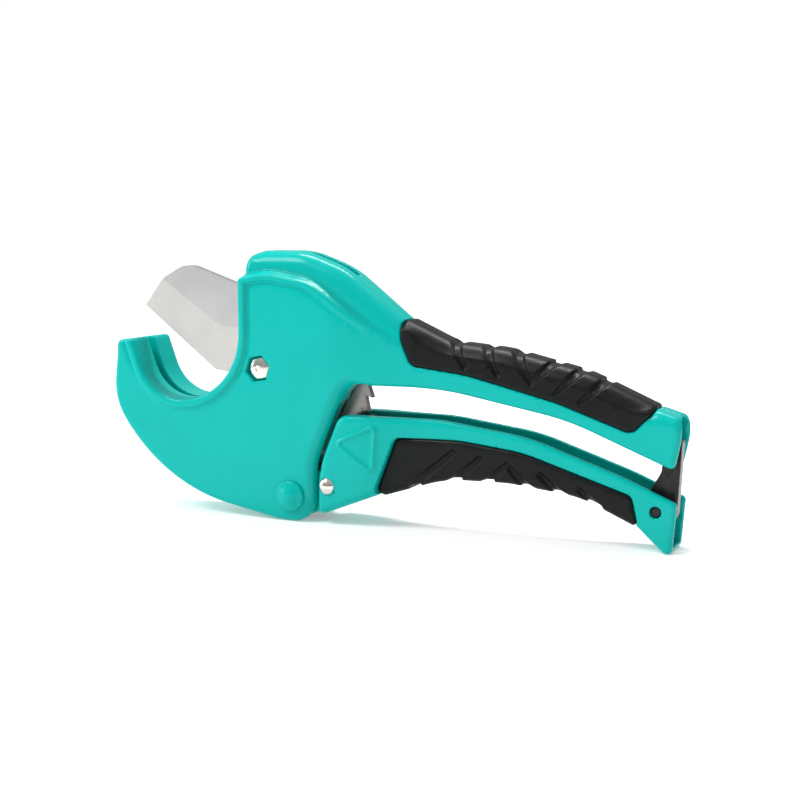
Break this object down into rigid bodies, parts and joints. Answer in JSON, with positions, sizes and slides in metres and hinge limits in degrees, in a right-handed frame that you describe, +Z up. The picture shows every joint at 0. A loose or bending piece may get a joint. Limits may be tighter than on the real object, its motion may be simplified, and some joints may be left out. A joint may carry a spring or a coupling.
{
  "type": "ratcheting pipe cutter",
  "caption": "Hand-held ratcheting cutter for plastic pipe: die-cast head with a cradle jaw, swinging toothed steel blade, latch and spring-opened handles with moulded grips.",
  "frame": {"origin": "bottom centre of the whole tool's box, on the plane that the head and the lower handle's tail stand on", "axes": "+X from the jaw towards the tails of the handles, +Y across the tool from the bolt head's side to the nut's side, +Z up with the upper handle on top"},
  "size_m": [0.2292, 0.0318, 0.1035],
  "materials": {
    "teal_paint": "gloss paint on die-cast aluminium",
    "black_grip": "satin moulded grip",
    "blade_steel": "ground and polished",
    "black_steel": "blackened",
    "bright_nickel": "bright plating",
    "spring_steel": "drawn wire"
  },
  "bodies": {
    "frame": {"body_casting": "teal_paint", "upper_grip": "black_grip", "blade_bolt": "bright_nickel", "blade_nut": "bright_nickel", "blade_washer_near": "spring_steel", "blade_washer_far": "spring_steel", "blade_return_spring": "spring_steel", "handle_pivot_pin": "teal_paint", "handle_spring": "spring_steel", "holding_pawl_pin": "bright_nickel", "holding_pawl_spring": "spring_steel"},
    "blade": {"blade": "blade_steel"},
    "holding_pawl": {"holding_pawl": "black_steel"},
    "lower_handle": {"lower_handle_casting": "teal_paint", "lower_grip": "black_grip", "drive_pawl_rivet": "bright_nickel", "drive_pawl_spring": "spring_steel", "latch_pin": "bright_nickel"},
    "drive_pawl": {"drive_pawl": "black_steel"},
    "latch": {"latch": "black_steel"}
  },
  "joints": [
    {"name": "handle_open", "type": "hinge", "parent": "frame", "child": "lower_handle", "pos_m": [-0.034, 0, 0.0102], "axis": [0, 1, 0], "range_deg": [-2, 24]},
    {"name": "blade_swing", "type": "hinge", "parent": "frame", "child": "blade", "pos_m": [-0.048, 0, 0.0585], "axis": [0, -1, 0], "range_deg": [-50, 32]},
    {"name": "holding_pawl_swing", "type": "hinge", "parent": "frame", "child": "holding_pawl", "pos_m": [0.0065, 0, 0.0586], "axis": [0, 1, 0], "range_deg": [0, 15], "stiffness_Nm_per_rad": 0.004, "springref_deg": -28.65},
    {"name": "drive_pawl_swing", "type": "hinge", "parent": "lower_handle", "child": "drive_pawl", "pos_m": [-0.0185, 0, 0.015], "axis": [0, -1, 0], "range_deg": [-2.8, 31]},
    {"name": "latch_swing", "type": "hinge", "parent": "lower_handle", "child": "latch", "pos_m": [0.1066, 0, 0.0146], "axis": [0, 1, 0], "range_deg": [0, 75]}
  ],
  "couplings": [
    {"joint": "drive_pawl_swing", "follows": "handle_open", "ratio": 1.28}
  ]
}
